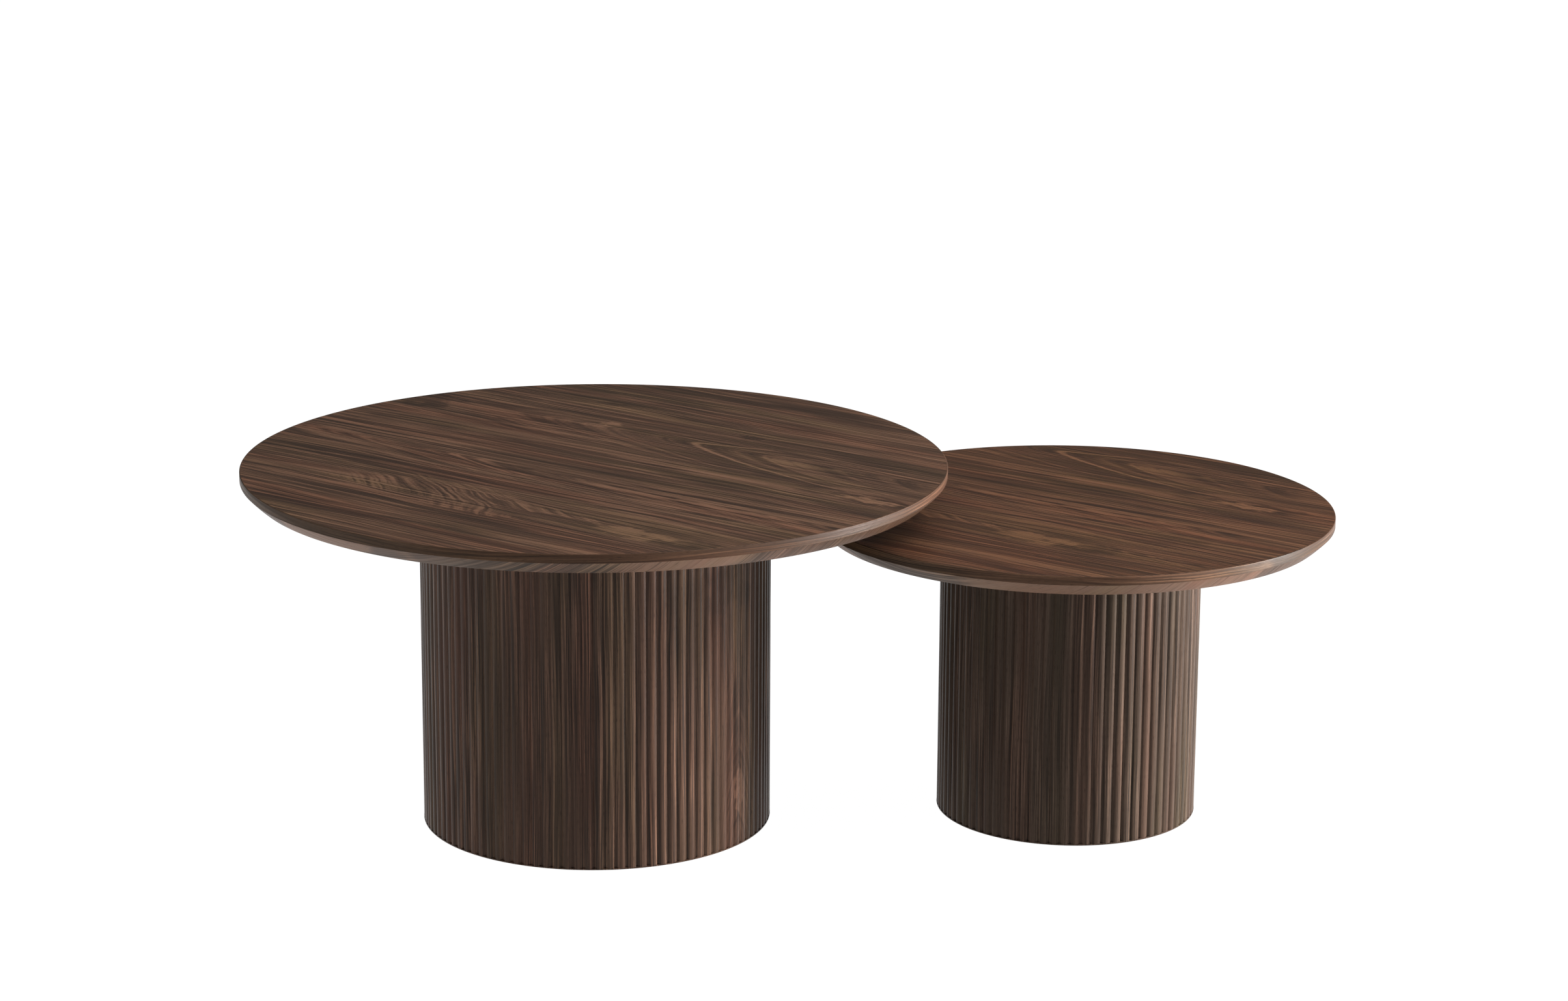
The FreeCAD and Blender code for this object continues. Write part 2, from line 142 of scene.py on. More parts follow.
def slab_faces(rows, columns):
    """The faces of a closed slab: a front grid, the same grid behind it, and the border."""
    total = rows * columns
    border = np.concatenate([np.arange(columns), np.arange(1, rows) * columns + columns - 1,
                             (rows - 1) * columns + np.arange(columns - 2, -1, -1),
                             np.arange(rows - 2, 0, -1) * columns])
    following = np.roll(border, -1)
    return np.concatenate([
        grid_faces(rows, columns), grid_faces(rows, columns, total, flip=True),
        np.stack([border, border + total, following + total, following], axis=-1)])


def build(name, points, faces, grain, body, material, replaced, crease=30):
    """A piece of the object: its mesh, its grain coordinates, its body, slot and material.

    The grain coordinates are along the grain, across it, and a third number for the material.
    """
    mesh = bpy.data.meshes.new(name)
    mesh.from_pydata(points.reshape(-1, 3).tolist(), [], faces.tolist())
    mesh.attributes.new("grain", "FLOAT_VECTOR", "POINT")
    in_mm = grain * (1 / MM, 1 / MM, 1)
    mesh.attributes["grain"].data.foreach_set("vector", in_mm.reshape(-1).astype(np.float32))
    mesh.validate()
    mesh.shade_smooth()
    mesh.set_sharp_from_angle(angle=math.radians(crease))
    mesh.materials.append(material)
    piece = bpy.data.objects.new(name, mesh)
    bpy.context.scene.collection.objects.link(piece)
    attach(piece, body)
    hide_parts(*replaced)
    return piece


def swept_strip(table, name, profile, along_grain, material, replaced):
    """A closed profile of (radius, height) bent round the axis as one strip, closed at its ends.

    along_grain tells whether the grain follows the strip or keeps the direction of the top's.
    """
    profile = np.array(profile + profile[:1])
    angles = STRIP_SEAM + np.linspace(0, 2 * math.pi, RIM_STEPS + 1)
    radius, height = profile[:, 0], profile[:, 1]
    points = np.empty((len(angles), len(profile), 3))
    points[..., 0] = table.x + np.cos(angles)[:, None] * radius
    points[..., 1] = table.y + np.sin(angles)[:, None] * radius
    points[..., 2] = height
    grain = to_pattern(table, points)
    grain[..., 2] = 0
    if along_grain:
        grain[..., 0] = (angles - angles[0])[:, None] * table.rim
        grain[..., 1] = height + (table.rim - radius)
    faces = grid_faces(len(angles), len(profile))
    return build(name, points, faces, grain, table.body, material, replaced)


def arc_points(centre, radius, start, end, steps):
    """Points of a small arc in the profile plane, angles in degrees."""
    angles = np.radians(np.linspace(start, end, steps))
    return [(centre[0] + radius * math.cos(a), centre[1] + radius * math.sin(a)) for a in angles]


def edge_band(table, material):
    """The upright strip, with its upper arris eased."""
    ease = 0.7 * MM
    inner = table.rim - table.band_ply
    corner = arc_points((table.rim - ease, table.surface - ease), ease, 0, 90, 5)
    profile = [(inner, table.band_foot), (table.rim, table.band_foot),
               *corner, (inner, table.surface)]
    swept_strip(table, f"{table.name}_edge_band_strip", profile, True, material,
                [f"{table.name}_edge_band"])


def bevel(table, material):
    """The sloping strip, very slightly crowned."""
    crown = 0.35 * MM
    top = Vector((table.rim, table.band_foot))
    foot = Vector((table.bevel_foot, table.underside))
    slope = foot - top
    outward = Vector((-slope.y, slope.x)).normalized()
    steps = 8
    face = []
    for step in range(steps + 1):
        share = step / steps
        point = top + slope * share + outward * crown * 4 * share * (1 - share)
        face.append((point.x, point.y))
    face.reverse()
    profile = [(table.bevel_foot - table.band_ply, table.underside), *face,
               (table.rim - table.band_ply, table.band_foot)]
    swept_strip(table, f"{table.name}_bevel_strip", profile, False, material,
                [f"{table.name}_bevel_veneer"])


def leaf(table, node, low, high, material):
    """One flat leaf of the face veneer: rows across the grain, each as long as the disc allows."""
    radius = table.rim - table.band_ply
    turn_low, turn_high = (math.asin(max(-1, min(1, t / radius))) for t in (low, high))
    rows = max(8, math.ceil((turn_high - turn_low) / (2 * math.pi / RIM_STEPS)))
    turns = np.linspace(turn_low, turn_high, rows + 1)
    across = radius * np.sin(turns)
    across[0], across[-1] = low, high
    half = np.sqrt(np.maximum(radius ** 2 - across ** 2, 0))
    share = np.linspace(-1, 1, LEAF_COLUMNS)
    along = half[:, None] * share[None, :]
    sideways = np.repeat(across[:, None], LEAF_COLUMNS, axis=1)
    cosine, sine = math.cos(GRAIN_ANGLE), math.sin(GRAIN_ANGLE)
    layer = np.stack([table.x + along * cosine - sideways * sine,
                      table.y + along * sine + sideways * cosine,
                      np.full_like(along, table.surface)], axis=-1)
    below = layer.copy()
    below[..., 2] = table.leaf_foot
    points = np.concatenate([layer.reshape(-1, 3), below.reshape(-1, 3)])
    build(f"{node}_veneer", points, slab_faces(rows + 1, LEAF_COLUMNS),
          to_pattern(table, points), table.body, material, [node])


def reeded_panel(table, side, half_turn, material):
    """Half of the drum's skin, with the reeds standing on a plain lip.

    Each reed is an arc with a rounded valley on both sides.
    """
    count = REEDS[table.name] // 2
    lip_ease = 0.3 * MM
    lip_rows = np.array([table.drum_foot, table.drum_foot + lip_ease, table.lip_top])
    z = np.concatenate([lip_rows, np.linspace(table.lip_top, table.underside, REED_ROWS)])
    pitch = math.pi / count
    chord = 2 * (table.drum - REED_DEPTH) * math.sin(pitch / 2)
    sagitta = table.drum - (table.drum - REED_DEPTH) * math.cos(pitch / 2)
    curve = (chord ** 2 / 4 + sagitta ** 2) / (2 * sagitta)
    offset = np.linspace(-1, 1, POINTS_PER_REED + 1)[:-1]
    offset = np.sin(offset * math.pi / 2) * 0.35 + offset * 0.65
    sideways = offset * chord / 2
    crest = np.sqrt(np.maximum(curve ** 2 - sideways ** 2, 0)) - curve
    floor_of_valley = -sagitta + 0.22 * MM
    blend = 0.25 * MM
    crest = blend * np.log(np.exp(crest / blend) + np.exp(floor_of_valley / blend))
    angle = ((np.arange(count)[:, None] + 0.5) * pitch
             + np.arctan2(sideways, table.drum + crest)[None, :]).ravel()
    angle = np.append(angle, math.pi)
    radial = np.tile(table.drum + crest, count)
    radial = np.append(radial, radial[0])
    angle[0] = 0.0
    reed = np.append(np.repeat(np.arange(count), POINTS_PER_REED), count - 1)
    unevenness = rng.normal(0, 0.05 * MM, count)[reed]
    sway = rng.normal(0, 0.04 * MM, (len(z), count))
    sway = (sway + np.roll(sway, 1, axis=0) + np.roll(sway, -1, axis=0)) / 2
    fade = (radial - radial.min()) / (radial.max() - radial.min())
    outer = radial[None, :] + fade * (unevenness[None, :] + sway[:, reed])
    outer = np.minimum(outer, table.drum)
    outer[:len(lip_rows)] = table.lip
    outer[0] -= lip_ease
    turn = SEAM_ANGLE[table.name] + half_turn + angle
    skin = np.empty((len(z), len(angle), 3))
    skin[..., 0] = table.x + outer * np.cos(turn)
    skin[..., 1] = table.y + outer * np.sin(turn)
    skin[..., 2] = z[:, None]
    back = np.empty_like(skin)
    back[..., 0] = table.x + table.panel_back * np.cos(turn)
    back[..., 1] = table.y + table.panel_back * np.sin(turn)
    back[..., 2] = z[:, None]
    grain = np.empty_like(skin)
    grain[..., 0] = z[:, None]
    grain[..., 1] = (turn - SEAM_ANGLE[table.name])[None, :] * table.drum
    grain[..., 2] = reed[None, :] + (count if half_turn else 0)
    points = np.concatenate([skin.reshape(-1, 3), back.reshape(-1, 3)])
    grain = np.concatenate([grain.reshape(-1, 3)] * 2)
    build(f"{table.name}_reeds_{side}", points, slab_faces(*skin.shape[:2]), grain, table.body,
          material, [f"{table.name}_reeded_panel_{side}"], crease=60)


# ---------------------------------------------------------------- material building blocks

class Shader:
    """A material's node tree, with short calls for the nodes that this script uses."""

    def __init__(self, name):
        self.material = bpy.data.materials.new(name)
        self.material.use_nodes = True
        self.tree = self.material.node_tree
        self.tree.nodes.clear()
        output = self.tree.nodes.new("ShaderNodeOutputMaterial")
        self.surface = self.tree.nodes.new("ShaderNodeBsdfPrincipled")
        self.link(self.surface.outputs["BSDF"], output.inputs["Surface"])

    def link(self, source, socket):
        self.tree.links.new(source, socket)

    def feed(self, socket, value):
        if isinstance(value, bpy.types.NodeSocket):
            self.link(value, socket)
        else:
            socket.default_value = value

    def math(self, operation, first, second=0.0, third=0.0):
        node = self.tree.nodes.new("ShaderNodeMath")
        node.operation = operation
        for socket, value in zip(node.inputs, (first, second, third)):
            self.feed(socket, value)
        return node.outputs[0]

    def combine(self, x, y, z):
        node = self.tree.nodes.new("ShaderNodeCombineXYZ")
        for socket, value in zip(node.inputs, (x, y, z)):
            self.feed(socket, value)
        return node.outputs[0]

    def separate(self, vector):
        node = self.tree.nodes.new("ShaderNodeSeparateXYZ")
        self.feed(node.inputs[0], vector)
        return node.outputs

    def attribute(self, name):
        node = self.tree.nodes.new("ShaderNodeAttribute")
        node.attribute_name = name
        return node.outputs["Vector"]

    def noise(self, x, y, z, detail, roughness=0.5):
        """Noise from 0 to 1 about 0.5, at a point whose coordinates are in wavelengths."""
        node = self.tree.nodes.new("ShaderNodeTexNoise")
        node.inputs["Scale"].default_value = 1.0
        node.inputs["Detail"].default_value = detail
        node.inputs["Roughness"].default_value = roughness
        self.feed(node.inputs["Vector"], self.combine(x, y, z))
        return node.outputs["Fac"]

    def spread(self, value, low, high, out_low=0.0, out_high=1.0):
        """value mapped smoothly from low..high to out_low..out_high, held at both ends."""
        node = self.tree.nodes.new("ShaderNodeMapRange")
        node.interpolation_type = "SMOOTHSTEP"
        for socket, item in zip(node.inputs, (value, low, high, out_low, out_high)):
            self.feed(socket, item)
        return node.outputs[0]

    def mix(self, share, first, second, blend="MIX"):
        node = self.tree.nodes.new("ShaderNodeMix")
        node.data_type = "RGBA"
        node.blend_type = blend
        self.feed(node.inputs["Factor"], share)
        self.feed(node.inputs[6], as_colour(first))
        self.feed(node.inputs[7], as_colour(second))
        return node.outputs[2]

    def ramp(self, value, stops):
        node = self.tree.nodes.new("ShaderNodeValToRGB")
        elements = node.color_ramp.elements
        elements[0].position, elements[0].color = stops[0][0], as_colour(stops[0][1])
        elements[1].position, elements[1].color = stops[-1][0], as_colour(stops[-1][1])
        for position, colour in stops[1:-1]:
            elements.new(position).color = as_colour(colour)
        self.feed(node.inputs[0], value)
        return node.outputs[0]

    def bump(self, height, distance, strength):
        node = self.tree.nodes.new("ShaderNodeBump")
        node.inputs["Distance"].default_value = distance
        node.inputs["Strength"].default_value = strength
        self.feed(node.inputs["Height"], height)
        self.link(node.outputs[0], self.surface.inputs["Normal"])

    def set(self, name, value):
        self.feed(self.surface.inputs[name], value)


def as_colour(value):
    if isinstance(value, bpy.types.NodeSocket):
        return value
    return (*value, 1.0)


# ---------------------------------------------------------------- walnut

BASE = (0.0613, 0.0323, 0.0192)
# Partly the small top's warmer hue, partly painted shade: it darkens the whole small top as if less
# lit.
SMALL_TOP_TINT_AND_SHADE = (0.81, 0.70, 0.60)      # the small table's colour as a share of the large one's
# The tone of a veneer, and what it multiplies the base colour by.
TONES = [(0.0, 0.40), (0.25, 0.66), (0.5, 1.0), (0.75, 1.50), (1.0, 2.4)]


def tone_ramp(shader, value, base):
    """The base colour at a tone of 0.5, darker and a little cooler below, lighter above."""
    stops = []
    for position, factor in TONES:
        cool = 1 + 0.10 * max(0.0, 0.5 - position)
        stops.append((position, (base[0] * factor, base[1] * factor * cool,
                                 base[2] * factor * cool * cool)))
    return shader.ramp(value, stops)


class Veneer:
    """The parts of a veneer's tone, each a number that is added to its middle tone."""

    def __init__(self, shader, along, across, seed, waver):
        self.shader = shader
        self.seed = seed
        self.s = along
        self.t = across
        self.t = self.add_noise(self.t, 320, 80, 20 * waver, 0.1)
        self.t = self.add_noise(self.t, 70, 18, 3 * waver, 0.2)

    def noise(self, length, width, layer=0.0, detail=1.0):
        """Streaks of a length and a width in millimetres."""
        shader = self.shader
        return shader.noise(shader.math("DIVIDE", self.s, length),
                            shader.math("DIVIDE", self.t, width), self.seed + layer, detail)

    def add_noise(self, value, length, width, amount, layer, detail=1.0):
        swing = self.shader.math("SUBTRACT", self.noise(length, width, layer, detail), 0.5)
        return self.shader.math("MULTIPLY_ADD", swing, amount, value)

    def streaks(self, strength):
        """Straight grain at three widths, from 32 mm down to 6 mm."""
        shader = self.shader
        tone = 0.0
        for length, width, amount, layer in ((520, 32, 0.80, 1), (480, 13, 0.50, 2),
                                             (420, 6, 1.35, 3)):
            tone = self.add_noise(tone, length, width, amount, layer)
        return shader.math("MULTIPLY", tone, strength)

    def fibres(self, strength):
        """Fine straight lines, pale and dark, calmer in some places than in others."""
        shader = self.shader
        tone = self.add_noise(0.0, 260, 2.4, 2.2, 4)
        tone = self.add_noise(tone, 110, 1.3, 2.6, 5)
        pale = shader.spread(self.noise(380, 4.2, 6), 0.60, 0.66)
        dark = shader.spread(self.noise(320, 3.8, 7), 0.60, 0.67)
        tone = shader.math("MULTIPLY_ADD", pale, 0.50, tone)
        tone = shader.math("MULTIPLY_ADD", dark, -0.46, tone)
        lively = shader.spread(self.noise(160, 45, 8), 0.35, 0.65,
                               0.45 * strength, 1.25 * strength)
        return shader.math("MULTIPLY", tone, lively)

    def cathedral(self, base, heart, below, above, reach, ring, start, end, strength, layer,
                  opens=1, calm=0.0, outlines=()):
        """Nested arches with their points in a row, laid over the tone called base.

        heart is where the points lie across the grain, below and above how wide the arches get
        on each side, reach how long they are and ring how far the points are apart. opens is
        the end that the arches open to, calm how much fainter they are than the straight
        grain. outlines are single arches: where the point of each is along the grain, half its
        thickness there and its change of tone.
        """
        shader = self.shader
        away = shader.math("SUBTRACT", self.t, heart)
        over = shader.math("DIVIDE", shader.math("MAXIMUM", away, 0.0), above)
        under = shader.math("DIVIDE", shader.math("MINIMUM", away, 0.0), -below)
        x = shader.math("ADD", over, under)
        x = shader.math("SUBTRACT", shader.math("SQRT", shader.math(
            "MULTIPLY_ADD", x, x, 0.012)), 0.11)
        left_over = shader.math("SUBTRACT", 1.0, shader.math("MINIMUM", x, 0.93))
        bend = shader.math("MULTIPLY", shader.math("LOGARITHM", left_over, math.e), reach)
        place = shader.math("MULTIPLY_ADD", self.s, opens, bend)
        rings = shader.math("DIVIDE", place, ring)
        tone = 0.0
        for k, amount in ((0.8, 0.8), (2.2, 1.3), (5.5, 1.5)):
            arches = shader.noise(shader.math("DIVIDE", self.s, 500),
                                  shader.math("MULTIPLY", rings, k), self.seed + layer + k, 1)
            tone = shader.math("MULTIPLY_ADD", shader.math("SUBTRACT", arches, 0.5),
                               amount * strength * (1 - calm), tone)
        for point, half, change in outlines:
            off = shader.math("ABSOLUTE", shader.math("SUBTRACT", place, point))
            near = shader.spread(off, half * 0.3, half * 1.3, 1.0, 0.0)
            tone = shader.math("MULTIPLY_ADD", near, change, tone)
        fade = 60
        share = shader.spread(x, 0.60, 0.97, 1.0, 0.0)
        share = shader.math("MULTIPLY", share, shader.spread(self.s, start, start + fade))
        share = shader.math("MULTIPLY", share, shader.spread(self.s, end - fade, end, 1.0, 0.0))
        return self.blend(share, base, tone)

    def feather(self, base, start, end, low, high, strength=3.8):
        """A patch of curly grain: close slanting strokes across the leaf."""
        shader = self.shader
        turn = shader.math("SUBTRACT", self.t, low)
        slant = shader.math("MULTIPLY_ADD", turn, 0.008, 1.0)
        place = shader.math("MULTIPLY_ADD", turn, slant, self.s)
        place = self.add_noise(place, 70, 30, 22, 33)
        hatch = shader.noise(shader.math("DIVIDE", place, 8.0), shader.math("DIVIDE", self.t, 60),
                             self.seed + 31, 2)
        tone = shader.math("MULTIPLY", shader.math("SUBTRACT", hatch, 0.44), strength)
        middle, half = (low + high) / 2, (high - low) / 2
        share = self.blob((start + end) / 2, middle, (end - start) / 2, half, 32)
        return self.blend(shader.math("MULTIPLY", share, 0.85), base, tone)

    def blob(self, along, across, half_length, half_width, layer):
        """1 inside an uneven oval and 0 outside it."""
        shader = self.shader
        first = shader.math("DIVIDE", shader.math("SUBTRACT", self.s, along), half_length)
        second = shader.math("DIVIDE", shader.math("SUBTRACT", self.t, across), half_width)
        away = shader.math("MULTIPLY_ADD", first, first, shader.math("MULTIPLY", second, second))
        away = self.add_noise(away, half_length * 0.6, half_width * 0.6, 5, layer, 2)
        return shader.spread(away, 0.35, 1.25, 1.0, 0.0)

    def blend(self, share, first, second):
        shader = self.shader
        return shader.math("MULTIPLY_ADD", share, shader.math("SUBTRACT", second, first), first)


def walnut(name, tone=0.0, seed=0.0, strength=1.12, fibre=1.12, base=BASE, cathedrals=(),
           feathers=(), patches=(), roughness=0.45, specular=0.2, waver=1.0, by_reed=False):
    """Walnut veneer.

    tone is added everywhere, strength and fibre scale the streaks and the fine lines, seed
    picks the pattern and waver how crooked it is. Patches are (along, across, half length,
    half width, change of tone) in mm. by_reed gives each reed its own tone.
    """
    shader = Shader(name)
    along, across, extra = shader.separate(shader.attribute("grain"))
    veneer = Veneer(shader, along, across, seed, waver)
    bands = veneer.streaks(strength)
    for number, figure in enumerate(cathedrals):
        bands = veneer.cathedral(bands, strength=strength, layer=10.0 + 7 * number, **figure)
    for figure in feathers:
        bands = veneer.feather(bands, **figure)
    # A patch adds tone: some are figure in the wood, some are painted light or painted shade.
    for number, (*place, change) in enumerate(patches):
        share = veneer.blob(*place, 50 + number)
        bands = shader.math("MULTIPLY_ADD", share, change, bands)
    fibres = veneer.fibres(fibre)
    value = shader.math("ADD", shader.math("ADD", bands, fibres), 0.5 + tone)
    if by_reed:
        reed = shader.noise(shader.math("MULTIPLY", extra, 0.83), 0.0, seed + 40, 1)
        value = shader.math("MULTIPLY_ADD", shader.math("SUBTRACT", reed, 0.5), 0.4, value)
    colour = tone_ramp(shader, value, base)
    if not by_reed:
        # The small top's warmer hue and its painted shade are multiplied in here.
        colour = shader.mix(extra, colour, shader.mix(1.0, colour, SMALL_TOP_TINT_AND_SHADE, "MULTIPLY"))
    hue = veneer.noise(380, 40, 41)
    colour = shader.mix(shader.spread(hue, 0.5, 0.68), colour,
                        shader.mix(1.0, colour, (1.05, 0.94, 0.92), "MULTIPLY"))
    colour = shader.mix(shader.spread(hue, 0.32, 0.5, 1.0, 0.0), colour,
                        shader.mix(1.0, colour, (0.97, 1.03, 0.94), "MULTIPLY"))
    pores = shader.spread(veneer.noise(9, 0.45, 42, 0), 0.60, 0.74)
    colour = shader.mix(shader.math("MULTIPLY", pores, 0.45), colour, (0.016, 0.010, 0.007))
    shader.set("Base Color", colour)
    shader.set("Roughness", shader.spread(fibres, -0.15, 0.15, roughness + 0.06,
                                          roughness - 0.05))
    shader.set("Specular IOR Level", specular)
    shader.bump(shader.math("MULTIPLY_ADD", pores, -0.6, fibres), 0.15 * MM, 0.5)
    return shader.material


def plain_wood(name, dark, light, along_axis, grain_mm, roughness=0.7):
    """Unfinished timber or board, in the object's own coordinates."""
    shader = Shader(name)
    node = shader.tree.nodes.new("ShaderNodeTexCoord")
    axes = [shader.math("MULTIPLY", c, 1000) for c in shader.separate(node.outputs["Object"])]
    sizes = [grain_mm, grain_mm, grain_mm]
    sizes[along_axis] = grain_mm * 25
    scaled = [shader.math("DIVIDE", axis, size) for axis, size in zip(axes, sizes)]
    grain = shader.noise(*scaled, detail=4, roughness=0.6)
    shader.set("Base Color", shader.ramp(grain, [(0.3, dark), (0.7, light)]))
    shader.set("Roughness", shader.spread(grain, 0.3, 0.7, roughness - 0.08, roughness + 0.08))
    shader.bump(grain, 0.2 * MM, 0.4)
    return shader.material


def plain_metal(name, colour, roughness):
    shader = Shader(name)
    node = shader.tree.nodes.new("ShaderNodeTexCoord")
    axes = [shader.math("MULTIPLY", c, 1000) for c in shader.separate(node.outputs["Object"])]
    marks = shader.noise(*axes, detail=3)
    shader.set("Base Color", shader.mix(shader.spread(marks, 0.3, 0.7, 0.0, 0.3), colour,
                                        tuple(c * 0.7 for c in colour)))
    shader.set("Roughness", shader.spread(marks, 0.3, 0.7, roughness - 0.08, roughness + 0.08))
    shader.surface.inputs["Metallic"].default_value = 1.0
    return shader.material


# ---------------------------------------------------------------- pieces and materials

# The leaves of the pattern, by the multiple of the leaf width where each begins.
LEAF_FIGURES = {
    -3: dict(seed=1.0, patches=[(-250, -300, 150, 26, -0.20), (60, -318, 160, 14, 0.12)]),
    -2: dict(seed=2.0,
             feathers=[dict(start=-190, end=115, low=-250, high=-170)],
             cathedrals=[dict(heart=-207, below=24, above=16, reach=60, ring=40, calm=0.5,
                              start=300, end=560,
                              outlines=[(338, 5, 0.50), (352, 5, -0.30), (374, 6, 0.40)])],
             patches=[(238, -219, 54, 19, 0.58), (310, -218, 30, 24, -0.22),
                      (-40, -285, 260, 22, -0.08)]),
    -1: dict(seed=3.3,
             cathedrals=[dict(heart=-70, below=62, above=24, reach=260, ring=110, calm=0.2,
                              start=-440, end=430,
                              outlines=[(-150, 9, 0.55), (-290, 22, 0.22), (215, 9, 0.3)])],
             patches=[(-45, -82, 100, 17, -0.16), (-290, -75, 90, 24, 0.12),
                      (235, -103, 42, 7, -0.25), (300, -108, 45, 12, 0.22),
                      (-200, -148, 230, 12, -0.20), (365, -140, 60, 40, -0.12)]),
    0: dict(seed=4.0,
            cathedrals=[dict(heart=143, below=92, above=48, reach=200, ring=48, calm=0.45,
                             start=-260, end=400,
                             outlines=[(-185, 8, 0.42), (-105, 9, 0.40), (-12, 7, -0.40),
                                       (36, 8, 0.85), (58, 7, -0.35)])],
            patches=[(-370, 120, 60, 38, -0.36), (-102, 158, 14, 8, 0.75),
                     (-290, 60, 110, 60, -0.12),
                     (-340, 150, 34, 9, 0.22), (350, 46, 36, 9, 1.0),
                     (345, 48, 80, 20, -0.30), (315, 52, 26, 8, -0.30),
                     (385, 60, 40, 6, -0.35), (-330, 78, 120, 9, 0.16),
                     (-30, 25, 280, 14, 0.10)]),
    1: dict(tone=-0.04, seed=5.0,
            patches=[(72, 200, 16, 9, -0.45), (-165, 233, 20, 10, -0.25),
                     (-260, 270, 170, 70, -0.12),
                     (-290, 215, 110, 32, -0.16), (200, 212, 200, 22, -0.08)]),
    2: dict(tone=-0.04, seed=6.0,
            patches=[(60, 345, 330, 20, -0.22), (-60, 370, 200, 50, -0.16)]),
}
leaf_materials = {number: walnut(f"walnut_leaf_{number + 4}", **figure)
                  for number, figure in LEAF_FIGURES.items()}
band_materials = {
    "large": walnut("walnut_band_large", seed=11.0, strength=0.5, fibre=0.5, tone=-0.06,
                    specular=0.1),
    # The small band's two patches are painted light at its front and painted shade at its right
    # front.
    "small": walnut("walnut_band_small", seed=11.0, strength=0.5, fibre=0.5, tone=-0.06,
                    specular=0.1, patches=[(500, 355, 150, 40, 0.22), (790, 355, 110, 40, -0.25)]),
}
# The bevel's two patches are painted light: brighter at the large bevel's front left and the small
# one's front.
bevel_material = walnut("walnut_bevel_painted_light", seed=12.0, strength=0.4, fibre=0.5,
                        patches=[(-28, -398, 140, 140, 0.60), (386, -304, 160, 160, 0.60)])
reed_materials = {
    "large": walnut("walnut_reed_large", seed=13.0, base=(0.054, 0.0297, 0.0195),
                    strength=0.4, fibre=0.7, specular=0.12, roughness=0.33, waver=0.4,
                    by_reed=True,
                    cathedrals=[dict(heart=190, below=36, above=36, reach=90, ring=34,
                                     start=-60, end=230, opens=-1)],
                    patches=[(66, 190, 28, 9, 0.40), (40, 196, 40, 6, 0.2),
                             # The patch 330 mm up and 170 mm round is painted shade, where the small
                             # table shades the drum.
                             (330, 170, 60, 45, -0.18), (155, -112, 40, 16, 0.14)]),
    "small": walnut("walnut_reed_small", seed=17.0, base=(0.052, 0.0345, 0.0251),
                    strength=0.3, fibre=0.5, specular=0.06, roughness=0.33, waver=0.4,
                    by_reed=True),
}
backing_material = walnut("walnut_backing", seed=14.0, tone=-0.05)
plywood = plain_wood("plywood_board", (0.36, 0.24, 0.13), (0.62, 0.47, 0.30), 0, 4)
softwood = plain_wood("softwood_post", (0.50, 0.33, 0.17), (0.72, 0.55, 0.34), 2, 3)
fibreboard = plain_wood("fibreboard_core", (0.30, 0.20, 0.12), (0.45, 0.33, 0.21), 2, 0.6)
zinc = plain_metal("zinc_plate", (0.62, 0.62, 0.61), 0.32)
brass = plain_metal("turned_brass", (0.72, 0.52, 0.22), 0.3)
plastic = plain_wood("glide_plastic_brown", (0.018, 0.014, 0.011), (0.035, 0.028, 0.022), 2, 1,
                     0.5)

CAD_MATERIALS = {"walnut_face": backing_material, "plywood": plywood, "softwood": softwood,
                 "fibreboard": fibreboard, "zinc_steel": zinc, "brass": brass,
                 "glide_plastic": plastic}
for part in frame["record"]["subparts"]:
    node_object = frame["nodes"][part["node"]]
    if part["material_slot"] in CAD_MATERIALS:
        node_object.data.materials.clear()
        node_object.data.materials.append(CAD_MATERIALS[part["material_slot"]])

for each in TABLES:
    edge_band(each, band_materials[each.name])
    bevel(each, bevel_material)
    for node_name, lower, upper in each.leaves():
        middle = (lower + upper) / 2 + PATTERN_SHIFT[each.name][1]
        leaf(each, node_name, lower, upper, leaf_materials[math.floor(middle / LEAF_WIDTH)])
    for half, turned_by in (("right", 0.0), ("left", math.pi)):
        reeded_panel(each, half, turned_by, reed_materials[each.name])


# ---------------------------------------------------------------- floor, light and camera

def floor():
    """A white floor that gives off its own light, so that it shows no shadow."""
    size = 30.0
    mesh = bpy.data.meshes.new("studio_floor")
    mesh.from_pydata([(-size, -size, 0), (size, -size, 0), (size, size, 0), (-size, size, 0)],
                     [], [(0, 1, 2, 3)])
    shader = Shader("floor_white")
    shader.set("Base Color", (0.04, 0.04, 0.04, 1.0))
    shader.set("Roughness", 0.9)
    shader.set("Emission Color", (1.0, 1.0, 1.0, 1.0))
    shader.set("Emission Strength", 1.0)
    shader.surface.inputs["Specular IOR Level"].default_value = 0.0
    mesh.materials.append(shader.material)
    piece = bpy.data.objects.new("studio_floor", mesh)
    bpy.context.scene.collection.objects.link(piece)


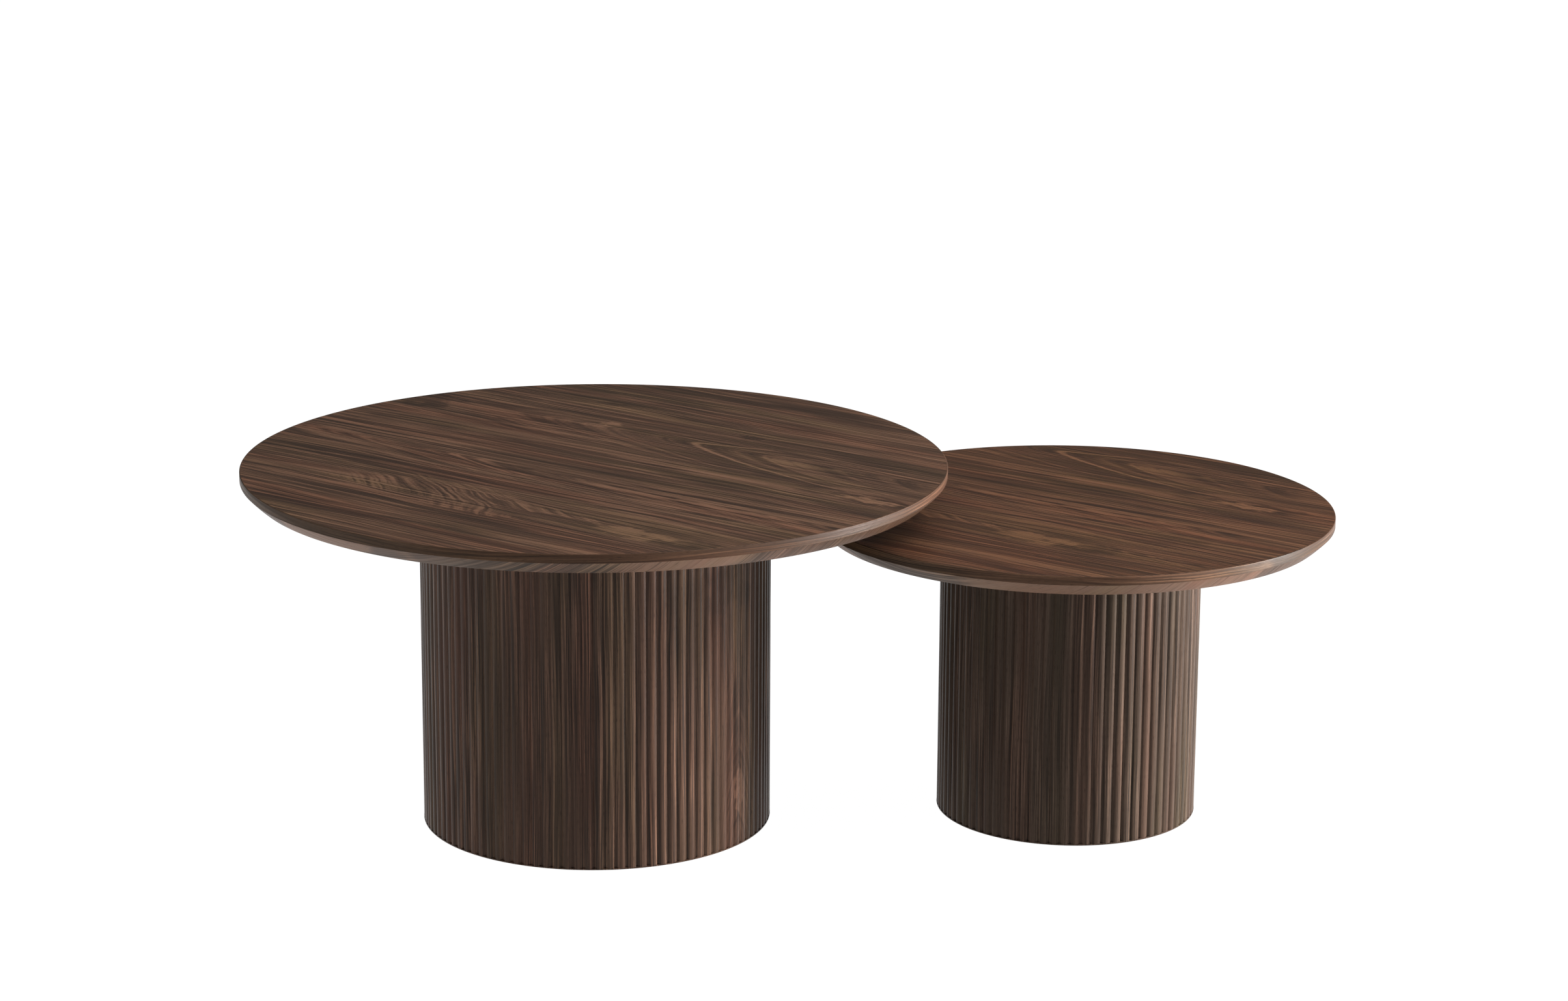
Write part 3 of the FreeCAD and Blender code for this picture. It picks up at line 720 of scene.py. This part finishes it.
def softbox(name, place, target, width, height, power):
    """A white rectangle of light at a place, turned towards a target."""
    light = bpy.data.lights.new(name, "AREA")
    light.shape = "RECTANGLE"
    light.size = width
    light.size_y = height
    light.energy = power
    lamp = bpy.data.objects.new(name, light)
    lamp.location = place
    lamp.rotation_euler = (Vector(target) - Vector(place)).to_track_quat("-Z", "Y").to_euler()
    bpy.context.scene.collection.objects.link(lamp)


def overhead(strength, angle):
    """A wide even light from straight above, as from a large ceiling of cloth."""
    light = bpy.data.lights.new("overhead", "SUN")
    light.energy = strength
    light.angle = math.radians(angle)
    lamp = bpy.data.objects.new("overhead", light)
    lamp.location = (0, 0, 3)
    bpy.context.scene.collection.objects.link(lamp)


def surroundings(level):
    world = bpy.data.worlds.new("studio")
    world.use_nodes = True
    world.node_tree.nodes["Background"].inputs["Color"].default_value = (1, 1, 1, 1)
    world.node_tree.nodes["Background"].inputs["Strength"].default_value = level
    bpy.context.scene.world = world


def camera():
    """A long lens at eye height, in front and a little to the left of the large table."""
    large = TABLES[0]
    place = Vector((large.x - 0.1014, large.y - 4.2538, 1.4723))
    heading = math.radians(-4.256)
    pitch = math.radians(14.468)
    roll = math.radians(0.338)
    level_forward = Vector((-math.sin(heading), math.cos(heading), 0))
    side = Vector((math.cos(heading), math.sin(heading), 0))
    forward = level_forward * math.cos(pitch) - Vector((0, 0, 1)) * math.sin(pitch)
    up = level_forward * math.sin(pitch) + Vector((0, 0, 1)) * math.cos(pitch)
    right = side * math.cos(roll) + up * math.sin(roll)
    top = up * math.cos(roll) - side * math.sin(roll)
    data = bpy.data.cameras.new("camera")
    data.sensor_width = 36
    data.lens = 88.62
    data.clip_end = 100
    item = bpy.data.objects.new("camera", data)
    axes = Matrix((right, top, -forward)).transposed().to_4x4()
    item.matrix_world = Matrix.Translation(place) @ axes
    bpy.context.scene.collection.objects.link(item)
    bpy.context.scene.camera = item


floor()
overhead(strength=1.6, angle=70)
softbox("high_right", (1.5, -0.6, 2.2), (0.0, 0, 0.4), 1.4, 1.4, 62)
softbox("key_right", (3.0, -0.36, 0.5), (0.0, 0, 0.2), 0.5, 1.0, 290)
softbox("fill_left", (-2.6, -0.8, 0.6), (-0.2, 0, 0.2), 1.4, 1.0, 11)
surroundings(0.08)
camera()
bpy.context.scene.view_settings.view_transform = "Standard"
bpy.context.scene.view_settings.look = "None"
